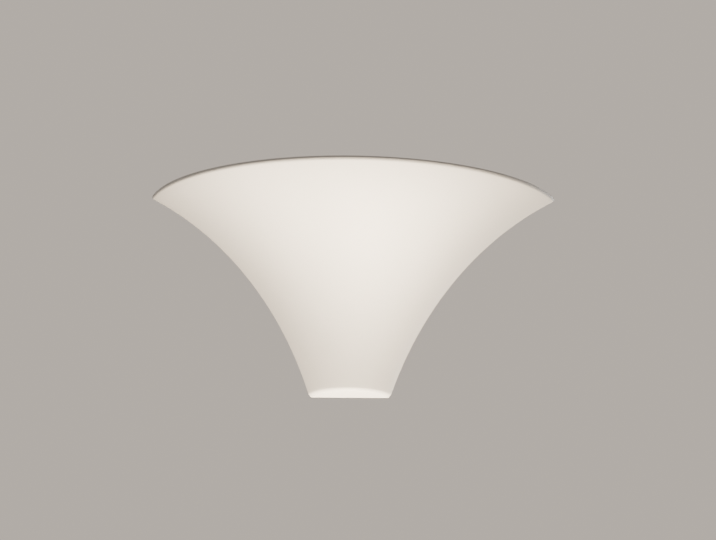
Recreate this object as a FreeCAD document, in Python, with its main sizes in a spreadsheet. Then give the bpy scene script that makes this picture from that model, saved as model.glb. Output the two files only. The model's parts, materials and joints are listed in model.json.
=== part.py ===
# Uplighter wall sconce: a flared ceramic half bowl that stands off a wall and throws its light upwards.
#
# Frame, in millimetres: the wall is the plane y = 0 and the room lies towards -Y.  +Z is up, +X is to the
# right for someone who faces the wall.  The origin is the middle of the two wall screws.
#
# The bowl has the same D outline at every height, flat side to the wall.  Its flank is an arc of an ellipse
# in the plane of the wall, and its depth is a fixed share of its half width.  All that holds it is inside: a
# bracket on the wall carries two studs, and the bowl's cross wall is clamped on them by two knurled nuts.
# The lamp lies on its side, so that its middle is low in the bowl and its cap points to the left.
import FreeCAD
import Part
import Sketcher
import math
import os

doc = FreeCAD.newDocument("uplighter")

DRIVING = [
    # the ceramic bowl
    ("shade_height", 205.6),        # underside to rim
    ("drop_below_origin", 90.0),    # wall screws to underside
    ("flank_semi_width", 297.2),    # each side, seen from the front, is an arc of one upright ellipse
    ("flank_semi_height", 360.2),
    ("flank_centre_out", 317.6),    # the ellipse's centre, out from the middle
    ("flank_centre_down", 130.3),   # and below the underside
    ("depth_share", 0.79),          # depth over half width, the same at every height
    ("shade_wall", 6.5),
    ("base_rounding", 5.0),
    ("edge_rounding", 3.0),
    ("inner_rim_rounding", 2.4),    # leaves a narrow flat round the rim
    ("crosswall_back", 5.0),        # the room behind the cross wall, for the bracket's ears
    ("crosswall_thick", 5.0),
    ("crosswall_top", 128.0),       # above the underside
    ("crosswall_inset", 6.3),       # from the bowl's outline in to the cross wall's own edge
    ("window_half_width", 57.0),
    ("window_bottom", 72.0),        # above the underside
    ("window_corner", 12.0),
    ("stud_clearance_r", 3.6),
    # the wall bracket
    ("plate_thick", 2.0),
    ("plate_half_width", 54.0),
    ("plate_top", 64.0),
    ("plate_bottom", -14.0),
    ("plate_corner", 6.0),
    ("ear_step", 1.5),              # how far the ears stand off the wall
    ("ear_half_height", 9.0),
    ("ear_reach", 74.0),
    ("ear_bend", 2.0),              # how far past the plate the step begins, at the back
    ("ear_bend_run", 1.5),          # and how far it runs
    ("ear_corner", 6.0),
    ("stud_x", 66.0),
    ("stud_z", 20.0),
    ("stud_r", 2.5),
    ("stud_end", 21.5),             # in front of the wall
    ("stud_head_r", 4.0),
    ("stud_head_thick", 1.2),
    ("stud_chamfer", 0.8),
    ("slot_spacing", 60.0),
    ("slot_r", 2.25),
    ("slot_length", 12.0),
    ("cable_hole_r", 6.0),
    ("cable_r", 4.0),
    ("bush_lip", 2.2),              # how far the cable bush's lip covers the plate
    ("bush_lip_thick", 1.0),
    ("bush_round", 0.8),
    # soft and hard washers, and the knurled nuts
    ("cushion_thick", 1.5),
    ("cushion_r", 7.0),
    ("washer_thick", 1.2),
    ("washer_r", 6.5),
    ("hole_play", 0.25),            # between a washer's hole and the stud
    ("nut_length", 7.0),
    ("nut_r", 6.5),
    ("nut_collar_step", 2.0),
    ("nut_collar_length", 1.5),
    ("nut_chamfer", 0.6),
    ("nut_groove_r", 0.7),
    ("nut_grooves", 16.0),
    # the lamp and its holder, which share one axis along X
    ("lamp_y", -33.0),
    ("lamp_z", 30.0),
    ("globe_x", 25.0),
    ("globe_r", 22.5),
    ("lamp_length", 78.0),
    ("cap_r", 6.9),
    ("cap_start", 3.5),             # from the lamp's tip
    ("cap_end", 21.5),              # from the lamp's tip
    ("cap_wall", 0.4),
    ("cap_taper", 0.6),             # how far the cap draws in at its insulator
    ("eyelet_r", 2.8),
    ("eyelet_thick", 1.2),
    ("glass_wall", 0.9),
    ("neck_play", 0.1),             # between the lamp's neck and its cap
    ("neck_out", 0.5),              # how far the straight neck comes out of the cap
    ("neck_held", 6.0),             # how long the straight neck is
    ("shell_play", 0.08),
    ("shell_wall", 0.42),
    ("holder_r", 14.0),
    ("holder_rear", -50.0),
    ("nipple_r", 5.0),
    ("nipple_bore_r", 3.6),
    ("nipple_behind", 7.5),         # behind the leg
    ("nipple_ahead", 4.0),          # inside the holder
    ("toothed_washer_r", 8.5),
    ("toothed_washer_thick", 0.8),
    ("tube_nut_flats", 14.0),
    ("tube_nut_thick", 3.5),
    ("leg_thick", 1.5),
    ("leg_reach", 49.0),            # in front of the wall
    ("leg_half_height", 15.0),
    ("leg_corner", 8.0),
    ("foot_length", 23.0),
    ("foot_screw_in", 12.0),        # in from the leg
    ("foot_screw_rise", 9.0),       # above and below the lamp's axis
    ("small_screw_r", 1.5),
    ("small_screw_tip", 0.2),       # in front of the wall
    ("small_screw_head_r", 2.8),
    ("small_screw_head", 2.0),
    ("small_screw_edge", 0.7),      # how far the head narrows to its top
    # the holder's mouldings: places along X are counted from its rear
    ("dome_rear_r", 8.0),
    ("dome_shoulder", 2.5),
    ("dome_shoulder_r", 11.4),
    ("dome_side", 6.0),
    ("dome_side_r", 13.2),
    ("dome_end", 13.0),
    ("dome_wall", 1.5),
    ("dome_floor", 2.0),
    ("skirt_lap_r", 12.4),
    ("skirt_bead", 3.0),            # the wider band where the skirt meets the dome
    ("skirt_end", 41.5),
    ("skirt_mouth_r", 8.4),
    ("skirt_wall", 1.6),
    ("core_start", 10.0),
    ("core_base_r", 11.5),
    ("core_neck", 18.0),
    ("core_neck_r", 9.2),
    ("core_end", 38.5),
    ("core_floor", 18.4),
    ("pin_r", 1.3),
    ("shell_start", 21.5),
    ("shell_end", 38.0),
    ("terminal_start", 6.5),
    ("terminal_depth", 3.5),
    ("terminal_half_width", 2.5),
    ("terminal_low", 0.6),
    ("terminal_high", 5.4),
    # the terminal block, its wires and the earth stud
    ("block_x", -15.0),
    ("block_z", 52.5),
    ("block_length", 18.0),
    ("block_base_front", 6.0),      # in front of the wall
    ("block_front", 14.5),
    ("terminal_step", 4.5),         # from the block's middle to each terminal screw
    ("pole_pitch", 12.0),
    ("pole_half_width", 3.6),
    ("pole_y", -8.5),
    ("block_round", 0.8),
    ("barrel_r", 2.6),
    ("screw_well_r", 2.0),
    ("terminal_screw_length", 2.4),
    ("wire_r", 1.1),
    ("wire_spread", 1.7),           # half the distance between the two wires in the nipple
    ("wire_turn_x", -62.0),
    ("earth_x", 27.0),
    ("earth_z", 56.0),
    ("earth_r", 2.0),
    ("earth_end", 15.0),            # in front of the wall
    ("earth_chamfer", 0.6),
    ("earth_washer_r", 4.6),
    ("earth_washer_rim", 1.4),
    ("earth_washer_hub", 1.1),
    ("earth_nut_flats", 7.0),
    ("earth_nut_thick", 3.2),
]

sheet = doc.addObject("Spreadsheet::Sheet", "driving")
sheet.Label = "driving dimensions"
for row, (alias, size) in enumerate(DRIVING, start=1):
    sheet.set(f"A{row}", alias)
    sheet.set(f"B{row}", str(size))
    sheet.setAlias(f"B{row}", alias)
doc.recompute()

D = "driving."
pieces = []


def value(text):
    """The number that an expression of the sheet stands for."""
    result = sheet.evalExpression(text)
    return float(getattr(result, "Value", result))


def new_body(label):
    """A body whose label is the name of its piece."""
    body = doc.addObject("PartDesign::Body", label)
    body.Label = label
    return body


def keep(label, piece):
    """Put a finished piece on the list, under its own name."""
    piece.Label = label
    pieces.append(piece)
    return piece


def plane_sketch(body, plane, shift=("0", "0", "0")):
    """A sketch on one of the body's own planes, moved by three expressions in the sketch's own axes."""
    flat = body.newObject("Sketcher::SketchObject", body.Name + "_sketch")
    support = next(item for item in body.Origin.OriginFeatures if item.Role == plane)
    flat.AttachmentSupport = [(support, "")]
    flat.MapMode = "FlatFace"
    for axis, text in zip("xyz", shift):
        flat.setExpression(".AttachmentOffset.Base." + axis, text)
    return flat


def bind(flat, kind, places, text):
    """Add one dimension to a sketch and bind it to the sheet."""
    index = flat.addConstraint(Sketcher.Constraint(kind, *places, value(text)))
    flat.setExpression(f"Constraints[{index}]", text)


def bind_point(flat, edge, end, corner):
    """Hold one end of an edge at a corner given by two expressions."""
    bind(flat, "DistanceX", (-1, 1, edge, end), corner[0])
    bind(flat, "DistanceY", (-1, 1, edge, end), corner[1])


def outline(flat, corners):
    """A closed outline of straight edges through corners, each a pair of expressions."""
    points = [FreeCAD.Vector(value(x), value(y), 0) for x, y in corners]
    first = flat.GeometryCount
    count = len(points)
    for i in range(count):
        flat.addGeometry(Part.LineSegment(points[i], points[(i + 1) % count]), False)
    for i in range(count):
        flat.addConstraint(Sketcher.Constraint("Coincident", first + i, 2, first + (i + 1) % count, 1))
    for i, corner in enumerate(corners):
        bind_point(flat, first + i, 1, corner)


def circle(flat, centre, radius):
    """A whole circle, its centre and radius given by expressions."""
    middle = FreeCAD.Vector(value(centre[0]), value(centre[1]), 0)
    index = flat.addGeometry(Part.Circle(middle, FreeCAD.Vector(0, 0, 1), value(radius)), False)
    bind_point(flat, index, 3, centre)
    bind(flat, "Radius", (index,), radius)


def slot(flat, centre, radius, length):
    """A round-ended slot along the sketch's X axis."""
    x, y, r = value(centre[0]), value(centre[1]), value(radius)
    half = value(length) / 2 - r
    normal = FreeCAD.Vector(0, 0, 1)
    right = Part.Circle(FreeCAD.Vector(x + half, y, 0), normal, r)
    left = Part.Circle(FreeCAD.Vector(x - half, y, 0), normal, r)
    first = flat.addGeometry(Part.ArcOfCircle(right, -math.pi / 2, math.pi / 2), False)
    flat.addGeometry(Part.LineSegment(FreeCAD.Vector(x + half, y + r, 0), FreeCAD.Vector(x - half, y + r, 0)))
    flat.addGeometry(Part.ArcOfCircle(left, math.pi / 2, 3 * math.pi / 2), False)
    flat.addGeometry(Part.LineSegment(FreeCAD.Vector(x - half, y - r, 0), FreeCAD.Vector(x + half, y - r, 0)))
    for i in range(4):
        ends = (first + i, 2, first + (i + 1) % 4, 1)
        flat.addConstraint(Sketcher.Constraint("Tangent", *ends))
    bind_point(flat, first, 3, (f"{centre[0]} + {length} / 2 - {radius}", centre[1]))
    bind(flat, "DistanceX", (first + 2, 3, first, 3), f"{length} - 2 * {radius}")
    bind(flat, "DistanceY", (first + 2, 3, first, 3), "0")
    bind(flat, "Radius", (first,), radius)


def pad(body, flat, length):
    """Give a sketch thickness, towards its normal."""
    feature = body.newObject("PartDesign::Pad", flat.Name + "_pad")
    feature.Profile = flat
    feature.setExpression("Length", length)
    flat.Visibility = False
    return feature


def pocket(body, flat, length):
    """Cut a sketch out of the body, towards the sketch's normal."""
    feature = body.newObject("PartDesign::Pocket", flat.Name + "_pocket")
    feature.Profile = flat
    feature.setExpression("Length", length)
    feature.Reversed = True
    return feature


def revolve(body, flat, axis):
    """Turn a sketch a full turn about its own H_Axis or V_Axis."""
    feature = body.newObject("PartDesign::Revolution", flat.Name + "_turn")
    feature.Profile = flat
    feature.ReferenceAxis = (flat, [axis])
    feature.Angle = 360
    return feature


def fillet(body, radius, wanted):
    """Round the edges of the body's last feature that the test picks."""
    doc.recompute()
    base = body.Tip
    names = [f"Edge{i}" for i, edge in enumerate(base.Shape.Edges, start=1) if wanted(edge)]
    feature = body.newObject("PartDesign::Fillet", body.Name + "_round")
    feature.Base = (base, names)
    feature.setExpression("Radius", radius)
    return feature


def along(edge, axis):
    """Whether an edge is straight and runs along one axis, 0 for X, 1 for Y or 2 for Z."""
    start, end = edge.Vertexes[0].Point, edge.Vertexes[-1].Point
    gap = [abs(end[i] - start[i]) for i in range(3)]
    return gap[axis] > 0.1 and sum(gap) - gap[axis] < 1e-6


def turned_forward(label, corners, x="0", z="0"):
    """A piece turned about a line along Y.  Corners are (radius, distance in front of the wall)."""
    body = new_body(label)
    flat = plane_sketch(body, "XY_Plane", (x, "0", z))
    outline(flat, [(radius, f"-({ahead})") for radius, ahead in corners])
    revolve(body, flat, "V_Axis")
    return body


def turned_sideways(label, corners):
    """A piece turned about the lamp's axis.  Corners are (place along X, radius)."""
    body = new_body(label)
    flat = plane_sketch(body, "XZ_Plane", ("0", D + "lamp_z", "-" + D + "lamp_y"))
    outline(flat, corners)
    revolve(body, flat, "H_Axis")
    return body


def group(label, members):
    """Several loose pieces of one kind under one name."""
    for number, member in enumerate(members, start=1):
        member.Label = f"{label}_{number}"
    together = doc.addObject("Part::Compound", label)
    together.Links = members
    return keep(label, together)


def mirrored(piece):
    """The piece's twin on the other side of the middle plane."""
    twin = doc.addObject("Part::Mirroring", piece.Name + "_twin")
    twin.Source = piece
    twin.Normal = FreeCAD.Vector(1, 0, 0)
    return twin


# ---------------------------------------------------------------- the ceramic bowl


def flank_rise(level):
    """Height above the ellipse's centre, as a share of its semi height."""
    return f"(({level} + {D}flank_centre_down) / {D}flank_semi_height)"


def flank_run(level):
    """Distance in from the ellipse's centre, as a share of its semi width."""
    return f"sqrt(1 - {flank_rise(level)}^2)"


def half_width(level, inset="0"):
    """Half width of the bowl at a height, a wall thickness further in if an inset is given."""
    outside = f"{D}flank_centre_out - {D}flank_semi_width * {flank_run(level)}"
    return f"({outside} - {inset} * sqrt(1 + {slope(level)}^2))"


def slope(level):
    """How fast the half width grows with height."""
    return (
        f"({D}flank_semi_width / {D}flank_semi_height * {flank_rise(level)} / {flank_run(level)})"
    )


def depth(level, inset="0"):
    """Depth of the bowl at a height, which is a share of its half width."""
    lean = f"({D}depth_share * {slope(level)})"
    return f"({D}depth_share * {half_width(level)} - {inset} * sqrt(1 + {lean}^2))"


SPARE = "10"    # how far the bowl's sections run on behind the wall plane before they are cut off there


def d_section(body, level, inset="0"):
    """The bowl's D outline at one height above its underside: an arc in front, square behind."""
    flat = plane_sketch(body, "XY_Plane", ("0", "0", f"{level} - {D}drop_below_origin"))
    wide, deep = half_width(level, inset), depth(level, inset)
    w, d, back = value(wide), value(deep), value(SPARE)
    radius = f"(({wide}^2 + {deep}^2) / (2 * {deep}))"
    r = value(radius)
    lean = math.asin((r - d) / r)
    arc = Part.Circle(FreeCAD.Vector(0, r - d, 0), FreeCAD.Vector(0, 0, 1), r)
    flat.addGeometry(Part.ArcOfCircle(arc, lean - math.pi, -lean), False)
    ring = [(w, 0), (w, back), (-w, back), (-w, 0)]
    for start, end in zip(ring, ring[1:]):
        flat.addGeometry(Part.LineSegment(FreeCAD.Vector(*start, 0), FreeCAD.Vector(*end, 0)), False)
    for i in range(4):
        flat.addConstraint(Sketcher.Constraint("Coincident", i, 2, (i + 1) % 4, 1))
    bind_point(flat, 1, 1, (wide, "0"))
    bind_point(flat, 2, 1, (wide, SPARE))
    bind_point(flat, 3, 1, ("-" + wide, SPARE))
    bind_point(flat, 0, 1, ("-" + wide, "0"))
    bind(flat, "Radius", (0,), radius)
    return flat


def loft(body, kind, sections):
    """A smooth loft through the sections, added to the body or cut from it."""
    feature = body.newObject("PartDesign::" + kind, body.Name + "_" + kind)
    feature.Profile = sections[0]
    feature.Sections = sections[1:]
    feature.Ruled = False
    return feature


def ground_back(body):
    """Take off everything behind the wall plane, which leaves a flat back."""
    flat = plane_sketch(body, "XZ_Plane", ("0", "0", "-" + SPARE))
    reach = D + "flank_centre_out"
    floor, roof = f"-{D}drop_below_origin - 20", f"{D}shade_height"
    outline(flat, [("-(" + reach + ")", floor), (reach, floor), (reach, roof), ("-(" + reach + ")", roof)])
    pocket(body, flat, SPARE)


def round_outside(body):
    """Round the solid bowl's foot, then its rim and the two long corners at its back."""
    foot, rim = -value(D + "drop_below_origin"), value(f"{D}shade_height - {D}drop_below_origin")

    def in_front(edge):
        return edge.BoundBox.YMin < -5

    def back_corner(edge):
        return edge.BoundBox.YMin > -0.01 and edge.BoundBox.ZLength > 10

    fillet(body, D + "base_rounding", lambda edge: in_front(edge) and edge.BoundBox.ZMax < foot + 0.01)
    fillet(
        body,
        D + "edge_rounding",
        lambda edge: back_corner(edge) or in_front(edge) and edge.BoundBox.ZMin > rim - 0.01,
    )


def crosswall(body):
    """The wall across the bowl: its sides run into the shell and its foot into the floor."""
    bottom, top = f"({D}shade_wall / 2)", D + "crosswall_top"
    flat = plane_sketch(body, "XZ_Plane", ("0", "0", D + "crosswall_back"))
    steps = 6
    edge = []
    for i in range(steps + 1):
        level = f"({bottom} + ({top} - {bottom}) * {i} / {steps})"
        edge.append((f"({half_width(level)} - {D}crosswall_inset)", f"{level} - {D}drop_below_origin"))
    outline(flat, edge + [("-" + x, z) for x, z in reversed(edge)])
    pad(body, flat, D + "crosswall_thick")

    # the window, open at its top, and the two stud holes
    flat = plane_sketch(body, "XZ_Plane", ("0", "0", D + "crosswall_back"))
    side = D + "window_half_width"
    sill = f"{D}window_bottom - {D}drop_below_origin"
    lid = f"{D}crosswall_top - {D}drop_below_origin + 1"
    outline(flat, [("-" + side, sill), (side, sill), (side, lid), ("-" + side, lid)])
    pocket(body, flat, D + "crosswall_thick")
    flat = plane_sketch(body, "XZ_Plane", ("0", "0", D + "crosswall_back"))
    circle(flat, (D + "stud_x", D + "stud_z"), D + "stud_clearance_r")
    circle(flat, ("-" + D + "stud_x", D + "stud_z"), D + "stud_clearance_r")
    pocket(body, flat, D + "crosswall_thick")
    corner, level = value(side), value(sill)

    def sill_corner(edge):
        middle = edge.CenterOfMass
        return along(edge, 1) and abs(abs(middle.x) - corner) < 0.1 and abs(middle.z - level) < 0.1

    fillet(body, D + "window_corner", sill_corner)


def shade():
    """The bowl: a lofted shell with a flat floor, open above and behind, with a cross wall inside."""
    body = new_body("shade")
    stations = 6
    levels = [f"({D}shade_height * {i} / {stations})" for i in range(stations + 1)]
    loft(body, "AdditiveLoft", [d_section(body, level) for level in levels])
    ground_back(body)
    round_outside(body)
    inner_base, inner_rise = D + "shade_wall", f"({D}shade_height + 8 - {D}shade_wall)"
    levels = [f"({inner_base} + {inner_rise} * {i} / {stations})" for i in range(stations + 1)]
    loft(body, "SubtractiveLoft", [d_section(body, level, D + "shade_wall") for level in levels])
    rim = value(f"{D}shade_height - {D}drop_below_origin")
    between = value(half_width(D + "shade_height", D + "shade_wall / 2"))

    def inner_rim(edge):
        box = edge.BoundBox
        return box.ZMin > rim - 0.01 and box.YMin < -5 and box.XMax < between

    fillet(body, D + "inner_rim_rounding", inner_rim)
    crosswall(body)
    return keep("shade", body)


# ---------------------------------------------------------------- the wall bracket and what clamps the bowl

EAR_FRONT = f"({D}ear_step + {D}plate_thick)"
WALL_FRONT = f"({D}crosswall_back + {D}crosswall_thick)"
CUSHION_FRONT = f"({WALL_FRONT} + {D}cushion_thick)"
WASHER_FRONT = f"({CUSHION_FRONT} + {D}washer_thick)"
FOOT_FRONT = f"({D}plate_thick + {D}leg_thick)"
EAR_BEND_FRONT = f"({D}ear_bend - 0.4 * {D}plate_thick)"
FOOT_SCREW_X = f"({D}holder_rear + {D}foot_screw_in)"
FOOT_SCREW_RISE = D + "foot_screw_rise"
SMALL_SCREW_R = D + "small_screw_r"
SCREW_HEAD_R = D + "small_screw_head_r"
EARTH_R = D + "earth_r"


def wall_bracket():
    """A pressed steel plate with a stepped ear on each side."""
    body = new_body("wall_bracket")
    side, low, high = D + "plate_half_width", D + "plate_bottom", D + "plate_top"
    flat = plane_sketch(body, "XZ_Plane")
    outline(flat, [("-" + side, low), (side, low), (side, high), ("-" + side, high)])
    pad(body, flat, D + "plate_thick")
    fillet(body, D + "plate_corner", lambda edge: along(edge, 1))
    for sign in ("", "-"):
        ear = [
            (side, "0"),
            (f"{side} + {D}ear_bend", "0"),
            (f"{side} + {D}ear_bend + {D}ear_bend_run", f"-{D}ear_step"),
            (D + "ear_reach", f"-{D}ear_step"),
            (D + "ear_reach", f"-{EAR_FRONT}"),
            (f"{side} + {EAR_BEND_FRONT} + {D}ear_bend_run", f"-{EAR_FRONT}"),
            (f"{side} + {EAR_BEND_FRONT}", f"-{D}plate_thick"),
            (side, f"-{D}plate_thick"),
        ]
        flat = plane_sketch(body, "XY_Plane", ("0", "0", f"{D}stud_z - {D}ear_half_height"))
        outline(flat, [(f"{sign}({x})", y) for x, y in ear])
        pad(body, flat, f"2 * {D}ear_half_height")
    reach = value(D + "ear_reach")

    def ear_tip(edge):
        return along(edge, 1) and abs(abs(edge.CenterOfMass.x) - reach) < 0.1

    fillet(body, D + "ear_corner", ear_tip)
    flat = plane_sketch(body, "XZ_Plane")
    for sign in ("", "-"):
        slot(flat, (f"{sign}{D}slot_spacing / 2", "0"), D + "slot_r", D + "slot_length")
        circle(flat, (sign + D + "stud_x", D + "stud_z"), D + "stud_r")
    circle(flat, ("0", "0"), D + "cable_hole_r")
    circle(flat, (FOOT_SCREW_X, f"{D}lamp_z + {FOOT_SCREW_RISE}"), SMALL_SCREW_R)
    circle(flat, (FOOT_SCREW_X, f"{D}lamp_z - {FOOT_SCREW_RISE}"), SMALL_SCREW_R)
    circle(flat, (D + "block_x", D + "block_z"), SMALL_SCREW_R)
    circle(flat, (D + "earth_x", D + "earth_z"), EARTH_R)
    pocket(body, flat, EAR_FRONT)
    return keep("wall_bracket", body)


def disc(label, hole, radius, back, front, x, z):
    """A flat ring in a plane parallel to the wall."""
    return turned_forward(label, [(hole, back), (radius, back), (radius, front), (hole, front)], x, z)


def both_sides(label, piece):
    """The right-hand piece and its twin under one name."""
    return group(label, [piece, mirrored(piece)])


def shade_fixings():
    """Studs, washers and knurled nuts, one set on each ear."""
    x, z = D + "stud_x", D + "stud_z"
    shank, end = D + "stud_r", D + "stud_end"
    head_r, head_back = D + "stud_head_r", f"({D}ear_step - {D}stud_head_thick)"
    stud = turned_forward(
        "stud",
        [
            ("0", head_back),
            (head_r, head_back),
            (head_r, D + "ear_step"),
            (shank, D + "ear_step"),
            (shank, f"{end} - {D}stud_chamfer"),
            (f"{shank} - {D}stud_chamfer", end),
            ("0", end),
        ],
        x,
        z,
    )
    both_sides("fixing_studs", stud)
    loose = f"({shank} + {D}hole_play)"
    rear = disc("rear_cushion", loose, D + "cushion_r", EAR_FRONT, D + "crosswall_back", x, z)
    both_sides("rear_cushions", rear)
    front = disc("front_cushion", loose, D + "cushion_r", WALL_FRONT, CUSHION_FRONT, x, z)
    both_sides("front_cushions", front)
    steel = disc("steel_washer", loose, D + "washer_r", CUSHION_FRONT, WASHER_FRONT, x, z)
    both_sides("steel_washers", steel)
    both_sides("knurled_nuts", knurled_nut(x, z))


def knurled_nut(x, z):
    """A thumb nut with a collar and a row of grooves round its edge."""
    bore, rim, collar = D + "stud_r", D + "nut_r", f"({D}nut_r - {D}nut_collar_step)"
    end = f"({WASHER_FRONT} + {D}nut_length)"
    shoulder = f"({WASHER_FRONT} + {D}nut_collar_length)"
    body = turned_forward(
        "knurled_nut",
        [
            (bore, WASHER_FRONT),
            (collar, WASHER_FRONT),
            (collar, shoulder),
            (rim, shoulder),
            (rim, f"{end} - {D}nut_chamfer"),
            (f"{rim} - {D}nut_chamfer", end),
            (bore, end),
        ],
        x,
        z,
    )
    flat = plane_sketch(body, "XZ_Plane", (x, z, shoulder))
    circle(flat, (rim, "0"), D + "nut_groove_r")
    groove = pocket(body, flat, D + "nut_length")
    ring = body.newObject("PartDesign::PolarPattern", "knurl")
    ring.Originals = [groove]
    ring.Axis = (flat, ["N_Axis"])
    ring.Angle = 360
    ring.setExpression("Occurrences", D + "nut_grooves")
    body.Tip = ring
    return body


def small_screw(label, seat, x, z, narrower="0"):
    """A small pan-head screw driven towards the wall, its head on the seat."""
    top = f"({seat} + {D}small_screw_head)"
    head_r = f"({SCREW_HEAD_R} - {narrower})"
    return turned_forward(
        label,
        [
            ("0", D + "small_screw_tip"),
            (SMALL_SCREW_R, D + "small_screw_tip"),
            (SMALL_SCREW_R, seat),
            (head_r, seat),
            (head_r, f"{seat} + {D}small_screw_head / 2"),
            (f"{head_r} - {D}small_screw_edge", top),
            ("0", top),
        ],
        x,
        z,
    )


def hexagon(flat, across):
    """A regular hexagon about the sketch's origin, given by its width across the flats."""
    half, quarter, corner = f"{across} / 2", f"{across} / (2 * sqrt(3))", f"{across} / sqrt(3)"
    right = [(half, "-" + quarter), (half, quarter), ("0", corner)]
    left = [("-" + half, quarter), ("-" + half, "-" + quarter), ("0", "-" + corner)]
    outline(flat, right + left)


# ---------------------------------------------------------------- the lampholder on its bracket


def lampholder_bracket():
    """A steel angle: the foot lies on the plate, and the leg stands forward behind the holder."""
    body = new_body("lampholder_bracket")
    inner, outer = D + "holder_rear", f"({D}holder_rear - {D}leg_thick)"
    foot_end = f"({outer} + {D}foot_length)"
    corners = [
        (outer, f"-{D}plate_thick"),
        (foot_end, f"-{D}plate_thick"),
        (foot_end, f"-{FOOT_FRONT}"),
        (inner, f"-{FOOT_FRONT}"),
        (inner, f"-{D}leg_reach"),
        (outer, f"-{D}leg_reach"),
    ]
    flat = plane_sketch(body, "XY_Plane", ("0", "0", f"{D}lamp_z - {D}leg_half_height"))
    outline(flat, corners)
    pad(body, flat, f"2 * {D}leg_half_height")
    tip = -value(D + "leg_reach")
    fillet(body, D + "leg_corner", lambda edge: along(edge, 0) and abs(edge.CenterOfMass.y - tip) < 0.1)
    flat = plane_sketch(body, "YZ_Plane", ("0", "0", outer))
    circle(flat, (D + "lamp_y", D + "lamp_z"), D + "nipple_r")
    pocket(body, flat, D + "leg_thick")
    flat = plane_sketch(body, "XZ_Plane", ("0", "0", D + "plate_thick"))
    for sign in ("+", "-"):
        circle(flat, (FOOT_SCREW_X, f"{D}lamp_z {sign} {FOOT_SCREW_RISE}"), SMALL_SCREW_R)
    pocket(body, flat, D + "leg_thick")
    keep("lampholder_bracket", body)
    screws = [
        small_screw("foot_screw", FOOT_FRONT, FOOT_SCREW_X, f"{D}lamp_z {sign} {FOOT_SCREW_RISE}")
        for sign in ("+", "-")
    ]
    group("bracket_screws", screws)


def holder_fixing():
    """The hollow threaded tube that joins holder and bracket, with its toothed washer and nut."""
    outer = f"({D}holder_rear - {D}leg_thick)"
    bore, radius = D + "nipple_bore_r", D + "nipple_r"
    start, end = f"({outer} - {D}nipple_behind)", f"({D}holder_rear + {D}nipple_ahead)"
    tube = [(start, bore), (end, bore), (end, radius), (start, radius)]
    keep("threaded_tube", turned_sideways("threaded_tube", tube))
    washer, wide = f"({outer} - {D}toothed_washer_thick)", D + "toothed_washer_r"
    ring = [(washer, radius), (outer, radius), (outer, wide), (washer, wide)]
    keep("toothed_washer", turned_sideways("toothed_washer", ring))
    body = new_body("tube_nut")
    flat = plane_sketch(body, "YZ_Plane", (D + "lamp_y", D + "lamp_z", f"{washer} - {D}tube_nut_thick"))
    hexagon(flat, D + "tube_nut_flats")
    circle(flat, ("0", "0"), radius)
    pad(body, flat, D + "tube_nut_thick")
    keep("tube_nut", body)


def lampholder():
    """The holder: a dome behind, a skirt in front, and between them the core with its contacts."""
    rear = D + "holder_rear"

    def at(step):
        return f"({rear} + {step})"

    tube, wide = D + "nipple_r", D + "holder_r"
    shoulder, side = at(D + "dome_shoulder"), at(D + "dome_side")
    end, floor = at(D + "dome_end"), at(D + "dome_floor")
    rear_r, shoulder_r, side_r = D + "dome_rear_r", D + "dome_shoulder_r", D + "dome_side_r"
    dome = [
        (at("0"), tube),
        (at("0"), rear_r),
        (shoulder, shoulder_r),
        (side, side_r),
        (end, side_r),
        (end, f"{side_r} - {D}dome_wall"),
        (side, f"{side_r} - {D}dome_wall"),
        (f"{shoulder} + 1.3", f"{shoulder_r} - 1"),
        (floor, rear_r),
        (floor, tube),
    ]
    keep("lampholder_dome", turned_sideways("lampholder_dome", dome))
    bead, mouth, lap = f"({end} + {D}skirt_bead)", at(D + "skirt_end"), D + "skirt_lap_r"
    front, wall = f"({mouth} - {D}skirt_wall)", D + "skirt_wall"
    skirt = [
        (end, lap),
        (end, wide),
        (bead, wide),
        (f"{bead} + 1", f"{wide} - 0.5"),
        (f"{mouth} - 2", f"{wide} - 1"),
        (mouth, f"{wide} - 2.4"),
        (mouth, D + "skirt_mouth_r"),
        (front, D + "skirt_mouth_r"),
        (f"{front} - 0.6", f"{wide} - 1 - {wall}"),
        (f"{bead} + 1", f"{lap} - 0.4"),
    ]
    keep("lampholder_skirt", turned_sideways("lampholder_skirt", skirt))
    shell_in = f"({D}cap_r + {D}shell_play)"
    shell_out = f"({shell_in} + {D}shell_wall)"
    pin, start, floor = D + "pin_r", at(D + "core_start"), at(D + "core_floor")
    core = [
        (start, pin),
        (start, D + "core_base_r"),
        (at(D + "core_neck"), D + "core_base_r"),
        (at(D + "core_neck"), D + "core_neck_r"),
        (at(D + "core_end"), D + "core_neck_r"),
        (at(D + "core_end"), shell_out),
        (floor, shell_out),
        (floor, pin),
    ]
    keep("lampholder_core", turned_sideways("lampholder_core", core))
    low, high = at(D + "shell_start"), at(D + "shell_end")
    shell = [(low, shell_in), (high, shell_in), (high, shell_out), (low, shell_out)]
    keep("screw_shell", turned_sideways("screw_shell", shell))
    contact = [
        (start, "0"),
        (start, pin),
        (floor, pin),
        (floor, f"2 * {pin}"),
        (f"{floor} + 0.7", f"2 * {pin}"),
        (f"{floor} + 1", f"{pin} + 0.3"),
        (f"{floor} + 1", "0"),
    ]
    keep("centre_contact", turned_sideways("centre_contact", contact))
    blocks = []
    for sign in ("", "-"):
        body = new_body("holder_terminal")
        flat = plane_sketch(body, "YZ_Plane", (D + "lamp_y", D + "lamp_z", at(D + "terminal_start")))
        low, high, half = sign + D + "terminal_low", sign + D + "terminal_high", D + "terminal_half_width"
        outline(flat, [("-" + half, low), (half, low), (half, high), ("-" + half, high)])
        pad(body, flat, D + "terminal_depth")
        blocks.append(body)
    group("holder_terminals", blocks)


# ---------------------------------------------------------------- the lamp

LAMP_TIP = f"({D}globe_x + {D}globe_r - {D}lamp_length)"


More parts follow.
